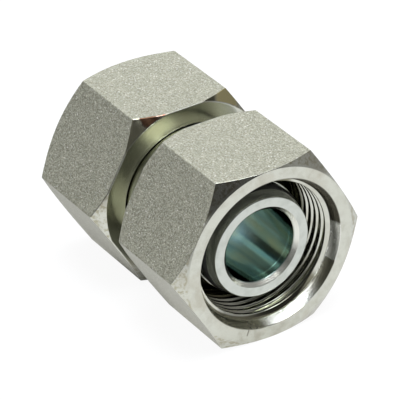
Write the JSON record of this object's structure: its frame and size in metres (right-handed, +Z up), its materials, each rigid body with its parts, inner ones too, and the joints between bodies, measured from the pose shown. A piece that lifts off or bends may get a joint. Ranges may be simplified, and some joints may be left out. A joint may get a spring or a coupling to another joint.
{
  "type": "straight swivel hydraulic tube adapter",
  "caption": "Straight adapter with a swivel nut at each end, holding coned sealing noses with O-rings for joining two threaded tube ends.",
  "frame": {"origin": "centre of the adapter on its axis, midway between the outer faces of the two nuts", "axes": "+X along the axis towards the nut that the picture shows in front, +Z up with the nuts lying on their lower flats"},
  "size_m": [0.0456, 0.037, 0.032],
  "materials": {
    "spool_steel": "turned steel with a smooth zinc-nickel plating",
    "nut_steel": "plated steel, blasted on the flats and turned on the ends",
    "seal_rubber": "smooth black rubber",
    "ring_steel": "drawn spring wire"
  },
  "bodies": {
    "spool": {"spool": "spool_steel", "seal_front": "seal_rubber", "seal_rear": "seal_rubber"},
    "front_ring": {"ring_front": "ring_steel"},
    "rear_ring": {"ring_rear": "ring_steel"},
    "front_nut": {"nut_front": "nut_steel"},
    "rear_nut": {"nut_rear": "nut_steel"}
  },
  "joints": [
    {"name": "front_play", "type": "slide", "parent": "spool", "child": "front_ring", "axis": [1, 0, 0], "range_m": [-0.0002, 0.0002]},
    {"name": "front_swivel", "type": "hinge", "parent": "front_ring", "child": "front_nut", "pos_m": [0.0128, 0, 0], "axis": [1, 0, 0], "continuous": true},
    {"name": "rear_play", "type": "slide", "parent": "spool", "child": "rear_ring", "axis": [-1, 0, 0], "range_m": [-0.0002, 0.0002]},
    {"name": "rear_swivel", "type": "hinge", "parent": "rear_ring", "child": "rear_nut", "pos_m": [-0.0128, 0, 0], "axis": [-1, 0, 0], "continuous": true}
  ]
}
